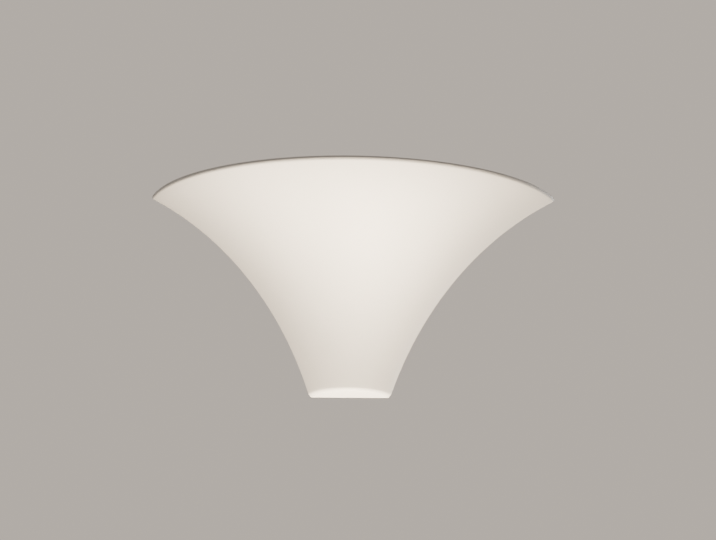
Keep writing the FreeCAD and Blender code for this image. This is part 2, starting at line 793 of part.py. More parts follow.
def lamp_contacts():
    """The lamp's eyelet, its black insulator and its screw cap, from the tip up."""

    def at(step):
        return f"({LAMP_TIP} + {step})"

    thick, wide = at(D + "eyelet_thick"), D + "eyelet_r"
    rounding = [(at("0"), f"{wide} - 0.9"), (at("0.5"), f"{wide} - 0.2")]
    eyelet = [(at("0"), "0"), *rounding, (thick, wide), (thick, "0")]
    keep("lamp_eyelet", turned_sideways("lamp_eyelet", eyelet))
    cap_start, cap_end = at(D + "cap_start"), at(D + "cap_end")
    cap = D + "cap_r"
    narrow = f"({cap} - {D}cap_taper)"
    insulator = [(thick, "0"), (thick, wide), (cap_start, narrow), (cap_start, "0")]
    keep("lamp_insulator", turned_sideways("lamp_insulator", insulator))
    inside = f"({cap} - {D}cap_wall)"
    shell = [
        (cap_start, f"{narrow} - 3 * {D}cap_wall"),
        (cap_start, narrow),
        (f"({cap_start} + 0.8)", cap),
        (cap_end, cap),
        (cap_end, inside),
        (f"({cap_start} + 1)", inside),
    ]
    keep("lamp_cap", turned_sideways("lamp_cap", shell))


def lamp_glass():
    """The opal glass: a neck held in the cap, a hollow curve and a round globe, all one thin wall."""
    body = new_body("lamp_glass")
    flat = plane_sketch(body, "XZ_Plane", ("0", D + "lamp_z", "-" + D + "lamp_y"))
    neck = f"({D}cap_r - {D}cap_wall - {D}neck_play)"
    flare_x = f"({LAMP_TIP} + {D}cap_end + {D}neck_out)"
    neck_start = f"({flare_x} - {D}neck_held)"
    globe_x, globe_r, wall = D + "globe_x", D + "globe_r", D + "glass_wall"
    run = f"({globe_x} - {flare_x})"
    flare_r = f"(({run}^2 + {neck}^2 - {globe_r}^2) / (2 * ({globe_r} - {neck})))"
    flare_z = f"({neck} + {flare_r})"
    reach = f"({flare_r} + {globe_r})"
    join_x = f"({flare_x} + {run} * {flare_r} / {reach})"
    join_z = f"({flare_z} * {globe_r} / {reach})"
    names = ("neck", "fx", "fr", "fz", "gx", "gr", "w", "jx", "jz", "ns")
    texts = (neck, flare_x, flare_r, flare_z, globe_x, globe_r, wall, join_x, join_z, neck_start)
    v = dict(zip(names, map(value, texts)))
    turn = math.atan2(v["jz"], v["jx"] - v["gx"])
    flare_end = math.atan2(v["jz"] - v["fz"], v["jx"] - v["fx"])
    up = FreeCAD.Vector(0, 0, 1)

    def arc(x, z, radius, start, end):
        whole = Part.Circle(FreeCAD.Vector(x, z, 0), up, radius)
        return flat.addGeometry(Part.ArcOfCircle(whole, start, end), False)

    def line(start, end):
        return flat.addGeometry(Part.LineSegment(FreeCAD.Vector(*start, 0), FreeCAD.Vector(*end, 0)), False)

    outer_neck = line((v["ns"], v["neck"]), (v["fx"], v["neck"]))
    outer_flare = arc(v["fx"], v["fz"], v["fr"], -math.pi / 2, flare_end)
    outer_globe = arc(v["gx"], 0, v["gr"], 0, turn)
    tip = line((v["gx"] + v["gr"], 0), (v["gx"] + v["gr"] - v["w"], 0))
    inner_globe = arc(v["gx"], 0, v["gr"] - v["w"], 0, turn)
    inner_flare = arc(v["fx"], v["fz"], v["fr"] + v["w"], -math.pi / 2, flare_end)
    inner_neck = line((v["fx"], v["neck"] - v["w"]), (v["ns"], v["neck"] - v["w"]))
    lip = line((v["ns"], v["neck"] - v["w"]), (v["ns"], v["neck"]))
    start, end, centre = 1, 2, 3
    meetings = [
        (outer_neck, end, outer_flare, start),
        (outer_flare, end, outer_globe, end),
        (outer_globe, start, tip, start),
        (tip, end, inner_globe, start),
        (inner_globe, end, inner_flare, end),
        (inner_flare, start, inner_neck, start),
        (inner_neck, end, lip, start),
        (lip, end, outer_neck, start),
    ]
    for meeting in meetings:
        flat.addConstraint(Sketcher.Constraint("Coincident", *meeting))
    bind_point(flat, outer_neck, start, (neck_start, neck))
    bind_point(flat, outer_neck, end, (flare_x, neck))
    for flare in (outer_flare, inner_flare):
        bind_point(flat, flare, centre, (flare_x, flare_z))
    for globe in (outer_globe, inner_globe):
        bind_point(flat, globe, centre, (globe_x, "0"))
    bind(flat, "DistanceX", (-1, 1, outer_flare, end), join_x)
    bind(flat, "DistanceY", (-1, 1, outer_globe, start), "0")
    bind_point(flat, tip, end, (f"{globe_x} + {globe_r} - {wall}", "0"))
    inner_join = f"({globe_x} - ({globe_x} - {join_x}) * ({globe_r} - {wall}) / {globe_r})"
    bind(flat, "DistanceX", (-1, 1, inner_globe, end), inner_join)
    bind(flat, "DistanceX", (-1, 1, inner_flare, start), flare_x)
    bind_point(flat, inner_neck, end, (neck_start, f"{neck} - {wall}"))
    revolve(body, flat, "H_Axis")
    keep("lamp_glass", body)


# ---------------------------------------------------------------- the mains side


def pole_z(sign):
    """Height of one of the two poles of the terminal block."""
    return f"({D}block_z {sign} {D}pole_pitch / 2)"


BLOCK_START = f"({D}block_x - {D}block_length / 2)"
BLOCK_BASE_FRONT = D + "block_base_front"
BLOCK_FRONT = D + "block_front"
TERMINAL_STEP = D + "terminal_step"


def terminal_block():
    """A plastic block with two towers, a brass barrel in each and a screw down the middle."""
    body = new_body("terminal_block")
    flat = plane_sketch(body, "YZ_Plane", ("0", "0", BLOCK_START))
    half = D + "pole_half_width"
    low, high = pole_z("-"), pole_z("+")
    corners = [
        (f"-{D}plate_thick", f"{low} - {half} - 0.6"),
        (f"-{BLOCK_FRONT}", f"{low} - {half} + 0.4"),
        (f"-{BLOCK_FRONT}", f"{low} + {half} - 0.4"),
        (f"-{BLOCK_BASE_FRONT}", f"{low} + {half}"),
        (f"-{BLOCK_BASE_FRONT}", f"{high} - {half}"),
        (f"-{BLOCK_FRONT}", f"{high} - {half} + 0.4"),
        (f"-{BLOCK_FRONT}", f"{high} + {half} - 0.4"),
        (f"-{D}plate_thick", f"{high} + {half} + 0.6"),
    ]
    outline(flat, corners)
    pad(body, flat, D + "block_length")
    front = -value(BLOCK_FRONT)
    fillet(body, D + "block_round", lambda edge: abs(edge.CenterOfMass.y - front) < 0.01)
    flat = plane_sketch(body, "YZ_Plane", ("0", "0", BLOCK_START))
    for sign in "-+":
        circle(flat, (D + "pole_y", pole_z(sign)), D + "barrel_r")
    pocket(body, flat, D + "block_length")
    flat = plane_sketch(body, "XZ_Plane", ("0", "0", f"{D}barrel_r - {D}pole_y"))
    for sign in "-+":
        for side in "-+":
            circle(flat, (f"{D}block_x {side} {TERMINAL_STEP}", pole_z(sign)), D + "screw_well_r")
    pocket(body, flat, BLOCK_FRONT)
    flat = plane_sketch(body, "XZ_Plane", ("0", "0", D + "plate_thick"))
    circle(flat, (D + "block_x", D + "block_z"), SMALL_SCREW_R)
    pocket(body, flat, BLOCK_FRONT)
    keep("terminal_block", body)

    barrels = []
    for sign in "-+":
        start, end = f"({BLOCK_START} + 1)", f"({BLOCK_START} + {D}block_length - 1)"
        ring = [
            (start, D + "wire_r"),
            (end, D + "wire_r"),
            (end, D + "barrel_r"),
            (start, D + "barrel_r"),
        ]
        body = new_body("barrel")
        flat = plane_sketch(body, "XZ_Plane", ("0", pole_z(sign), "-" + D + "pole_y"))
        outline(flat, ring)
        revolve(body, flat, "H_Axis")
        barrels.append(body)
    group("terminal_barrels", barrels)
    seat = f"({D}barrel_r - {D}pole_y)"
    top, wide = f"({seat} + {D}terminal_screw_length)", f"({D}screw_well_r - 0.1)"
    screws = [
        turned_forward(
            "terminal_screw",
            [("0", seat), (wide, seat), (wide, top), ("0", top)],
            f"({D}block_x {side} {TERMINAL_STEP})",
            pole_z(sign),
        )
        for sign in "-+"
        for side in "-+"
    ]
    group("terminal_screws", screws)
    x, z = D + "block_x", D + "block_z"
    keep("block_screw", small_screw("block_screw", BLOCK_BASE_FRONT, x, z, narrower="0.6"))


def wire(label, sign):
    """One internal lead: out of its barrel, round a half turn and into the hollow tube."""
    start = FreeCAD.Vector(value(D + "block_x"), value(D + "pole_y"), value(pole_z(sign)))
    target = f"({D}lamp_z {sign} {D}wire_spread)"
    end = FreeCAD.Vector(value(f"{D}holder_rear + 6.5"), value(D + "lamp_y"), value(target))
    turn_x, radius = value(D + "wire_turn_x"), value(D + "wire_r")
    above = FreeCAD.Vector(turn_x, start.y, start.z)
    below = FreeCAD.Vector(turn_x, end.y, end.z)
    outermost = (above + below) * 0.5 - FreeCAD.Vector((above - below).Length / 2, 0, 0)
    path = Part.Wire([
        Part.LineSegment(start, above).toShape(),
        Part.Arc(above, outermost, below).toShape(),
        Part.LineSegment(below, end).toShape(),
    ])
    section = Part.Wire(Part.Circle(start, FreeCAD.Vector(1, 0, 0), radius).toShape())
    lead = doc.addObject("Part::Feature", label)
    lead.Shape = path.makePipeShell([section], True, True)
    expected = math.pi * radius**2 * path.Length
    print(label, "volume over section times length:", round(lead.Shape.Volume / expected, 4))
    return keep(label, lead)


def earth_point():
    """The pressed earth stud with its cup washer and nut."""
    x, z = D + "earth_x", D + "earth_z"
    end, chamfer = D + "earth_end", D + "earth_chamfer"
    tip = [(EARTH_R, f"{end} - {chamfer}"), (f"{EARTH_R} - {chamfer}", end), ("0", end)]
    keep("earth_stud", turned_forward("earth_stud", [("0", "0"), (EARTH_R, "0")] + tip, x, z))
    wide, plate = D + "earth_washer_r", D + "plate_thick"
    rim, hub = f"{plate} + {D}earth_washer_rim", f"{plate} + {D}earth_washer_hub"
    cup = [(EARTH_R, plate), (wide, plate), (wide, rim), (EARTH_R, hub)]
    keep("earth_washer", turned_forward("earth_washer", cup, x, z))
    body = new_body("earth_nut")
    flat = plane_sketch(body, "XZ_Plane", (x, z, rim))
    hexagon(flat, D + "earth_nut_flats")
    circle(flat, ("0", "0"), EARTH_R)
    pad(body, flat, D + "earth_nut_thick")
    keep("earth_nut", body)


def cable_bush():
    """The soft bush that lines the cable hole."""
    bore, hole, plate = D + "cable_r", D + "cable_hole_r", D + "plate_thick"
    lip = f"({hole} + {D}bush_lip)"
    edge, top = f"({plate} + {D}bush_lip_thick)", f"({plate} + {D}bush_lip_thick + {D}bush_round)"
    ring = [
        (bore, "0"),
        (hole, "0"),
        (hole, plate),
        (lip, plate),
        (lip, edge),
        (f"{lip} - {D}bush_round", top),
        (bore, top),
    ]
    keep("cable_bush", turned_forward("cable_bush", ring))


shade()
wall_bracket()
shade_fixings()
lampholder_bracket()
holder_fixing()
lampholder()
lamp_contacts()
lamp_glass()
terminal_block()
wire("live_wire", "-")
wire("neutral_wire", "+")
earth_point()
cable_bush()

doc.recompute()
for item in doc.Objects:
    if "Invalid" in item.State or "Error" in item.State:
        raise RuntimeError(f"{item.Label} failed: {item.State}")
for piece in pieces:
    if piece.Shape.isNull() or not piece.Shape.isValid():
        raise RuntimeError(f"{piece.Label} has no valid shape")

os.makedirs("parts", exist_ok=True)
for piece in pieces:
    piece.Shape.exportStep(f"parts/{piece.Label}.step")
    print(piece.Label, "solids", len(piece.Shape.Solids), "volume", round(piece.Shape.Volume, 1))
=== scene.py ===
"""Looks of the uplighter wall sconce: a matt white ceramic half bowl on its wall bracket.

The scene is in metres in the part's own frame: the wall is the plane y = 0, the room lies
towards -Y and +Z is up.  Each piece is made in millimetres, from sizes that repeat the ones
that the solids were built from, and is scaled when it is put into the scene.
"""

import json
import math

import bmesh
import bpy
from mathutils import Matrix, Vector


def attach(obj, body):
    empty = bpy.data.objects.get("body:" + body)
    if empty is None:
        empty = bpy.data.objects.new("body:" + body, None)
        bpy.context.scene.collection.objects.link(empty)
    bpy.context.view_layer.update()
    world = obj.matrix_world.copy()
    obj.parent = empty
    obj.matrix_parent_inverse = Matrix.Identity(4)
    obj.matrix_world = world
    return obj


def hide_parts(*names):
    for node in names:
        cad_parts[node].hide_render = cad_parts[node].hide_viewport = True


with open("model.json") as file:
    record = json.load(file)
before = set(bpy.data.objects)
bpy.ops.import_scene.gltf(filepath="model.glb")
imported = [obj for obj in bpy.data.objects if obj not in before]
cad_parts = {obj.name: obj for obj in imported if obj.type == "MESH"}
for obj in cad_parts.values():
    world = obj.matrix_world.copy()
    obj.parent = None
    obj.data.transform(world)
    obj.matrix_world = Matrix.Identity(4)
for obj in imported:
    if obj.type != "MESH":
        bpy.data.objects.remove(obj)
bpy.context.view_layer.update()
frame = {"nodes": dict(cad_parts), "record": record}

MM = 0.001

# ---------------------------------------------------------------- sizes, in millimetres

# The bowl.  Its flank is an arc of an upright ellipse with the half axes FLANK_WIDE and
# FLANK_HIGH, whose middle lies FLANK_OUT to the side and FLANK_DOWN below the foot.
FOOT = -90.0
HEIGHT = 205.6
FLANK_WIDE, FLANK_HIGH = 297.2, 360.2
FLANK_OUT, FLANK_DOWN = 317.6, 130.3
DEPTH_SHARE = 0.79
WALL = 6.5
RIM_ROUND, INNER_RIM_ROUND, FOOT_ROUND, BACK_ROUND = 3.0, 2.4, 5.0, 3.0
UNDER_RIM = HEIGHT - RIM_ROUND
ARC_STEPS, FLANK_STEPS, RIM_STEPS = 56, 44, 12

# The wall across the bowl, and the window in it.
CROSSWALL_TOP, CROSSWALL_INSET, CROSSWALL_ROUND = 128.0, 6.3, 1.0
WINDOW_HALF, WINDOW_SILL, WINDOW_CORNER = 57.0, 72.0, 12.0

# What is stacked on each stud, as distances from the wall.
EAR_FRONT, CROSSWALL_BACK, CROSSWALL_FRONT = 3.5, 5.0, 10.0
WASHER_BACK, NUT_BACK, NUT_FRONT, STUD_END = 11.5, 12.7, 19.7, 21.5
STUD_X, STUD_Z, STUD_R, STUD_HOLE = 66.0, 20.0, 2.5, 2.75
CUSHION_R, WASHER_R, NUT_R, NUT_COLLAR = 7.0, 6.5, 6.5, 4.5

# The lamp and its holder, which lie along X.
LAMP_Y, LAMP_Z = -33.0, 30.0
CAP_START, CAP_COLLAR, CAP_END, CAP_R, THREAD_PITCH = -27.0, -14.0, -9.0, 6.9, 2.822
GLOBE_X, GLOBE_R, NECK_R, FLARE_X, GLASS_WALL = 25.0, 22.5, 6.4, -8.5, 0.9
HOLDER_REAR = -50.0
TUBE_START, TUBE_END, TUBE_R, TUBE_BORE = -59.0, -46.0, 5.0, 3.6
TOOTH_BACK, TOOTH_FRONT, TOOTH_HOLE, TOOTH_ROOT, TOOTH_TIP = -52.1, -51.7, 5.1, 6.6, 8.4

# The screws.
HEAD_HEIGHT, SHANK_R = 2.0, 1.5
FOOT_SCREW_X, FOOT_SCREW_UP = -38.0, 9.0
BLOCK_X, BLOCK_Z, GRUB_ASIDE, GRUB_UP = -15.0, 52.5, 4.5, 6.0
GRUB_START, GRUB_TOP, GRUB_R = 11.1, 13.5, 1.8
EARTH_X, EARTH_Z, EARTH_R, EARTH_TIP, EARTH_END = 27.0, 56.0, 2.0, 14.4, 15.0

# Points that lie nearer than this are one point.
NEAR = 0.001


# ---------------------------------------------------------------- camera, light and stage

PICTURE_WIDTH, FOCAL_PIXELS, SENSOR_WIDTH = 716, 6050, 36.0
VIEW_DISTANCE, VIEW_AIM = 6.0, (0.0061, 0.0, 0.0398)
VIEW_SIDE, VIEW_BELOW, VIEW_ROLL = 2.10, 13.86, 0.91

WARM, DAYLIGHT = (1.0, 0.83, 0.62), (1.0, 0.97, 0.93)
LOW_RIGHT, LOW_MIDDLE = (0.25, -0.5, -0.9), (0, -0.5, -0.9)
SPOT_SOFTNESS = 0.06
FLOOR_Z, FLOOR_SIZE = -1.65, 6


def camera():
    """A long lens 6 m away and a little below, turned as the photograph's was."""
    side, below, roll = (math.radians(turn) for turn in (VIEW_SIDE, VIEW_BELOW, VIEW_ROLL))
    back = Vector((
        math.sin(side) * math.cos(below),
        -math.cos(side) * math.cos(below),
        -math.sin(below),
    ))
    right = Vector((0, 0, 1)).cross(back).normalized()
    up = back.cross(right)
    level_right = right * math.cos(roll) + up * math.sin(roll)
    level_up = back.cross(level_right)
    lens = bpy.data.cameras.new("camera")
    lens.sensor_width, lens.lens = SENSOR_WIDTH, FOCAL_PIXELS * SENSOR_WIDTH / PICTURE_WIDTH
    lens.clip_start, lens.clip_end = 0.1, 60
    seen = bpy.data.objects.new("camera", lens)
    turn = Matrix((level_right, level_up, back)).transposed().to_4x4()
    seen.matrix_world = Matrix.Translation(Vector(VIEW_AIM) + back * VIEW_DISTANCE) @ turn
    bpy.context.scene.collection.objects.link(seen)
    bpy.context.scene.camera = seen


def hung(name, lamp, place, aim):
    """Put a light in its place, turned to its aim and unseen by the camera."""
    held = bpy.data.objects.new(name, lamp)
    held.location = place
    held.rotation_euler = (Vector(aim) - Vector(place)).to_track_quat("-Z", "Y").to_euler()
    held.visible_camera = False
    bpy.context.scene.collection.objects.link(held)


def soft_light(name, place, size, power, colour, aim):
    """A square area light."""
    lamp = bpy.data.lights.new(name, "AREA")
    lamp.size, lamp.energy, lamp.color = size, power, colour
    hung(name, lamp, place, aim)


def pool_of_light(name, place, aim, cone, power):
    """A narrow warm lamp with a soft edge; its cone is in degrees."""
    lamp = bpy.data.lights.new(name, "SPOT")
    lamp.spot_size, lamp.spot_blend = math.radians(cone), 1.0
    lamp.shadow_soft_size = SPOT_SOFTNESS
    lamp.energy, lamp.color = power, WARM
    hung(name, lamp, place, aim)


def room_air():
    """The light of the room from all round, paler at eye level than overhead."""
    world = bpy.data.worlds.new("room")
    world.use_nodes = True
    tree = world.node_tree
    place = tree.nodes.new("ShaderNodeTexCoord")
    split = tree.nodes.new("ShaderNodeSeparateXYZ")
    ramp = tree.nodes.new("ShaderNodeValToRGB")
    tree.links.new(place.outputs["Generated"], split.inputs["Vector"])
    tree.links.new(split.outputs["Z"], ramp.inputs["Fac"])
    tree.links.new(ramp.outputs["Color"], tree.nodes["Background"].inputs["Color"])
    level, overhead = ramp.color_ramp.elements
    level.position, level.color = 0.30, (0.60, 0.535, 0.47, 1)
    overhead.position, overhead.color = 0.55, (0.08, 0.072, 0.064, 1)
    bpy.context.scene.world = world


def pale_floor():
    """The room's floor, far below the sconce."""
    mesh = bmesh.new()
    bmesh.ops.create_grid(mesh, x_segments=8, y_segments=8, size=FLOOR_SIZE)
    bmesh.ops.translate(mesh, verts=mesh.verts, vec=(0, 0, FLOOR_Z))
    sheet = bpy.data.meshes.new("floor")
    mesh.to_mesh(sheet)
    mesh.free()
    floor = bpy.data.objects.new("floor", sheet)
    floor.data.materials.append(FINISHES["floor_paint"])
    bpy.context.scene.collection.objects.link(floor)


def surroundings():
    """The room's air, its lights and its floor."""
    room_air()
    soft_light("underneath", (0, -0.04, -0.35), 0.12, 4.9, WARM, (0, -0.039, 0))
    pool_of_light("wide", LOW_RIGHT, (0, -0.1, 0.075), 17.0, 122)
    pool_of_light("core", LOW_RIGHT, (0, -0.1, 0.06), 10.7, 108)
    pool_of_light("right_end", LOW_MIDDLE, (0.12, -0.1, 0.08), 11.5, 66)
    pool_of_light("left_end", LOW_RIGHT, (-0.12, -0.1, 0.1), 11.0, 80)
    soft_light("behind", (1.2, 1.6, 0.3), 1.2, 32, DAYLIGHT, (0, -0.05, 0.02))
    pale_floor()


# ---------------------------------------------------------------- finishes

class Finish:
    """One procedural finish, with short ways to add a pattern to it."""

    def __init__(self, name, **settings):
        self.material = bpy.data.materials.new(name)
        self.material.use_nodes = True
        self.tree = self.material.node_tree
        self.shader = self.tree.nodes["Principled BSDF"]
        self.place = self.tree.nodes.new("ShaderNodeTexCoord")
        for socket, wanted in settings.items():
            self.shader.inputs[socket.replace("_", " ")].default_value = wanted

    def stretched(self, scale):
        """The place on the piece, stretched along its axes."""
        mapping = self.tree.nodes.new("ShaderNodeMapping")
        mapping.inputs["Scale"].default_value = scale
        self.tree.links.new(self.place.outputs["Object"], mapping.inputs["Vector"])
        return mapping.outputs["Vector"]

    def cloudy(self, scale, detail=3, roughness=0.5, stretch=None):
        """Soft clouds; scale is in cells to the metre."""
        noise = self.tree.nodes.new("ShaderNodeTexNoise")
        noise.inputs["Scale"].default_value = scale
        noise.inputs["Detail"].default_value = detail
        noise.inputs["Roughness"].default_value = roughness
        source = self.stretched(stretch) if stretch else self.place.outputs["Object"]
        self.tree.links.new(source, noise.inputs["Vector"])
        return noise.outputs["Fac"]

    def cells(self, scale):
        """Crystal cells; scale is in cells to the metre."""
        cell = self.tree.nodes.new("ShaderNodeTexVoronoi")
        cell.inputs["Scale"].default_value = scale
        self.tree.links.new(self.place.outputs["Object"], cell.inputs["Vector"])
        return cell.outputs["Distance"]

    def shades(self, pattern, *stops):
        """Base colour from a pattern: stops are (position, colour)."""
        ramp = self.tree.nodes.new("ShaderNodeValToRGB")
        band = ramp.color_ramp
        while len(band.elements) < len(stops):
            band.elements.new(0.5)
        for element, (position, colour) in zip(band.elements, stops):
            element.position = position
            element.color = (*colour, 1)
        self.tree.links.new(pattern, ramp.inputs["Fac"])
        self.tree.links.new(ramp.outputs["Color"], self.shader.inputs["Base Color"])

    def gloss(self, pattern, low, high):
        """Roughness from a pattern."""
        spread = self.tree.nodes.new("ShaderNodeMapRange")
        spread.inputs["From Min"].default_value = 0.3
        spread.inputs["From Max"].default_value = 0.7
        spread.inputs["To Min"].default_value = low
        spread.inputs["To Max"].default_value = high
        self.tree.links.new(pattern, spread.inputs["Value"])
        self.tree.links.new(spread.outputs["Result"], self.shader.inputs["Roughness"])

    def relief(self, *layers):
        """Bump from patterns: layers are (pattern, strength, height in mm)."""
        last = None
        for pattern, strength, height in layers:
            bump = self.tree.nodes.new("ShaderNodeBump")
            bump.inputs["Strength"].default_value = strength
            bump.inputs["Distance"].default_value = height * MM
            self.tree.links.new(pattern, bump.inputs["Height"])
            if last:
                self.tree.links.new(last, bump.inputs["Normal"])
            last = bump.outputs["Normal"]
        self.tree.links.new(last, self.shader.inputs["Normal"])


def bisque():
    """White ceramic under matt white paint: even, with a faint roller mottle and a fine tooth."""
    made = Finish("ceramic", Specular_IOR_Level=0.28, Sheen_Weight=0.06, Sheen_Roughness=0.6)
    made.shades(
        made.cloudy(14, 5, 0.62),
        (0.25, (0.822, 0.806, 0.782)),
        (0.55, (0.842, 0.828, 0.806)),
        (0.80, (0.856, 0.843, 0.823)),
    )
    made.gloss(made.cloudy(60, 3), 0.50, 0.62)
    made.relief((made.cloudy(38, 4), 0.18, 0.5), (made.cloudy(900, 3), 0.22, 0.05))
    return made.material


def zinc():
    """Bright zinc plating over rolled steel, with its rolling lines and pale crystal bloom."""
    made = Finish("zinc_steel", Metallic=1.0)
    made.shades(
        made.cells(260),
        (0.1, (0.60, 0.61, 0.63)),
        (0.5, (0.64, 0.65, 0.66)),
        (0.9, (0.68, 0.68, 0.67)),
    )
    made.gloss(made.cloudy(400, 4), 0.32, 0.42)
    made.relief((made.cloudy(900, 2, 0.5, (0.08, 1, 1)), 0.22, 0.04))
    return made.material


def turned_brass():
    """Turned brass with a light brown bloom."""
    made = Finish("brass", Metallic=1.0)
    made.shades(
        made.cloudy(160, 4, 0.6),
        (0.30, (0.50, 0.33, 0.12)),
        (0.52, (0.70, 0.50, 0.20)),
        (0.75, (0.78, 0.60, 0.29)),
    )
    made.gloss(made.cloudy(300, 3), 0.20, 0.40)
    made.relief((made.cloudy(2600, 2), 0.16, 0.03))
    return made.material


def silicone():
    """Milky soft silicone."""
    made = Finish("silicone", Subsurface_Weight=0.35, Subsurface_Scale=0.003, Coat_Weight=0.1)
    made.shades(made.cloudy(300, 3), (0.3, (0.66, 0.68, 0.67)), (0.7, (0.75, 0.76, 0.75)))
    made.gloss(made.cloudy(500, 2), 0.42, 0.60)
    made.relief((made.cloudy(1500, 2), 0.12, 0.03))
    return made.material


def moulded(name, dark, light, gloss):
    """Moulded plastic or rubber with a fine grain."""
    made = Finish(name, Specular_IOR_Level=0.45)
    made.shades(made.cloudy(110, 4, 0.6), (0.3, dark), (0.7, light))
    made.gloss(made.cloudy(260, 3), *gloss)
    made.relief((made.cloudy(1400, 2), 0.22, 0.04), (made.cloudy(80, 2), 0.1, 0.1))
    return made.material


def porcelain():
    """Glazed technical porcelain."""
    made = Finish("porcelain", Coat_Weight=0.5, Coat_Roughness=0.12)
    made.shades(made.cloudy(150, 4), (0.3, (0.74, 0.73, 0.69)), (0.7, (0.82, 0.81, 0.78)))
    made.gloss(made.cloudy(300, 2), 0.22, 0.38)
    made.relief((made.cloudy(700, 3), 0.15, 0.04))
    return made.material


def rolled_cap():
    """Nickel plated cap metal."""
    made = Finish("cap_metal", Metallic=1.0)
    made.shades(made.cloudy(420, 3), (0.3, (0.54, 0.52, 0.49)), (0.7, (0.72, 0.70, 0.67)))
    made.gloss(made.cloudy(600, 2), 0.18, 0.36)
    made.relief((made.cloudy(1800, 2), 0.15, 0.02))
    return made.material


def lit_opal():
    """Opal glass of the lamp with the lamp switched on."""
    made = Finish(
        "opal_glass",
        Roughness=0.22,
        Emission_Strength=13.0,
        Emission_Color=(1.0, 0.80, 0.56, 1),
        Coat_Weight=0.3,
    )
    made.shades(made.cloudy(60, 3), (0.3, (0.86, 0.83, 0.77)), (0.7, (0.90, 0.88, 0.84)))
    made.relief((made.cloudy(200, 2), 0.05, 0.05))
    return made.material


def floor_paint():
    """Plain pale floor."""
    made = Finish("floor_paint", Specular_IOR_Level=0.2)
    made.shades(made.cloudy(1.5, 3), (0.3, (0.76, 0.72, 0.67)), (0.7, (0.79, 0.75, 0.70)))
    made.gloss(made.cloudy(6, 2), 0.7, 0.85)
    return made.material


# name: darkest and palest colour, least and most roughness
MOULDED = {
    "holder_plastic": ((0.70, 0.69, 0.66), (0.76, 0.75, 0.72), (0.30, 0.42)),
    "black_insulator": ((0.012, 0.012, 0.013), (0.02, 0.02, 0.022), (0.08, 0.18)),
    "block_plastic": ((0.68, 0.67, 0.62), (0.76, 0.75, 0.71), (0.34, 0.48)),
    "live_insulation": ((0.14, 0.06, 0.03), (0.19, 0.085, 0.045), (0.38, 0.5)),
    "neutral_insulation": ((0.03, 0.10, 0.30), (0.05, 0.14, 0.38), (0.38, 0.5)),
    "bush_rubber": ((0.02, 0.02, 0.02), (0.035, 0.035, 0.035), (0.55, 0.72)),
}

FINISHES = {
    "ceramic": bisque(),
    "zinc_steel": zinc(),
    "brass": turned_brass(),
    "silicone": silicone(),
    "porcelain": porcelain(),
    "cap_metal": rolled_cap(),
    "opal_glass": lit_opal(),
    "floor_paint": floor_paint(),
}
FINISHES.update((name, moulded(name, *look)) for name, look in MOULDED.items())


def dress_solids():
    """Give every solid of the frame the finish of its slot."""
    for subpart in frame["record"]["subparts"]:
        solid = frame["nodes"][subpart["node"]]
        finish = FINISHES[subpart["material_slot"]]
        if not solid.data.materials:
            solid.data.materials.append(finish)
        for slot in solid.material_slots:
            slot.link = "OBJECT"
            slot.material = finish


# ---------------------------------------------------------------- making a piece

def finished(name, mesh, node, body, slot, crease):
    """Turn a mesh in millimetres into a piece that stands for one solid."""
    bmesh.ops.scale(mesh, vec=(MM, MM, MM), verts=mesh.verts)
    data = bpy.data.meshes.new(name)
    mesh.to_mesh(data)
    mesh.free()
    data.shade_smooth()
    data.set_sharp_from_angle(angle=math.radians(crease))
    piece = bpy.data.objects.new(name, data)
    piece.data.materials.append(FINISHES[slot])
    bpy.context.scene.collection.objects.link(piece)
    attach(piece, body)
    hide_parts(node)


def only(kind, geometry):
    """The vertices, edges or faces of what an operator gives back."""
    return [element for element in geometry if isinstance(element, kind)]


def grown(mesh, ring):
    """Extrude a chain of edges and give back its new vertices and edges."""
    geometry = bmesh.ops.extrude_edge_only(mesh, edges=ring)["geom"]
    fresh = only(bmesh.types.BMVert, geometry)
    known = set(fresh)
    return fresh, [e for e in only(bmesh.types.BMEdge, geometry) if set(e.verts) <= known]


def cut(mesh, place, normal, trim=False):
    """Cut a mesh along a plane; trim drops what lies beyond it."""
    geometry = list(mesh.verts) + list(mesh.edges) + list(mesh.faces)
    bmesh.ops.bisect_plane(
        mesh, geom=geometry, plane_co=place, plane_no=normal, clear_outer=trim
    )


def turned(profile, steps):
    """A solid of revolution about the X axis from a closed profile of (along, radius)."""
    mesh = bmesh.new()
    chain = [mesh.verts.new((along, 0, radius)) for along, radius in profile]
    edges = [mesh.edges.new(pair) for pair in zip(chain, chain[1:] + chain[:1])]
    bmesh.ops.spin(
        mesh,
        geom=chain + edges,
        cent=(0, 0, 0),
        axis=(1, 0, 0),
        angle=math.tau,
        steps=steps,
        dvec=(0, 0, 0),
        use_merge=True,
        use_duplicate=False,
    )
    bmesh.ops.remove_doubles(mesh, verts=mesh.verts, dist=NEAR)
    bmesh.ops.recalc_face_normals(mesh, faces=mesh.faces)
    return mesh


def faced_forward(mesh, place):
    """Turn a piece made along X so that it points out of the wall, and put it in its place."""
    out_of_wall = Matrix.Rotation(-math.pi / 2, 3, "Z")
    bmesh.ops.rotate(mesh, verts=mesh.verts, cent=(0, 0, 0), matrix=out_of_wall)
    bmesh.ops.translate(mesh, verts=mesh.verts, vec=place)
    return mesh


def on_lamp_axis(mesh):
    """Move a piece made along X onto the lamp's axis."""
    bmesh.ops.translate(mesh, verts=mesh.verts, vec=(0, LAMP_Y, LAMP_Z))
    return mesh


def joined(meshes):
    """Several meshes as one."""
    whole = bmesh.new()
    for mesh in meshes:
        part = bpy.data.meshes.new("part")
        mesh.to_mesh(part)
        mesh.free()
        whole.from_mesh(part)
        bpy.data.meshes.remove(part)
    return whole


def at_studs(make):
    """One piece on each stud."""
    return joined([faced_forward(make(), (side * STUD_X, 0, STUD_Z)) for side in (-1, 1)])


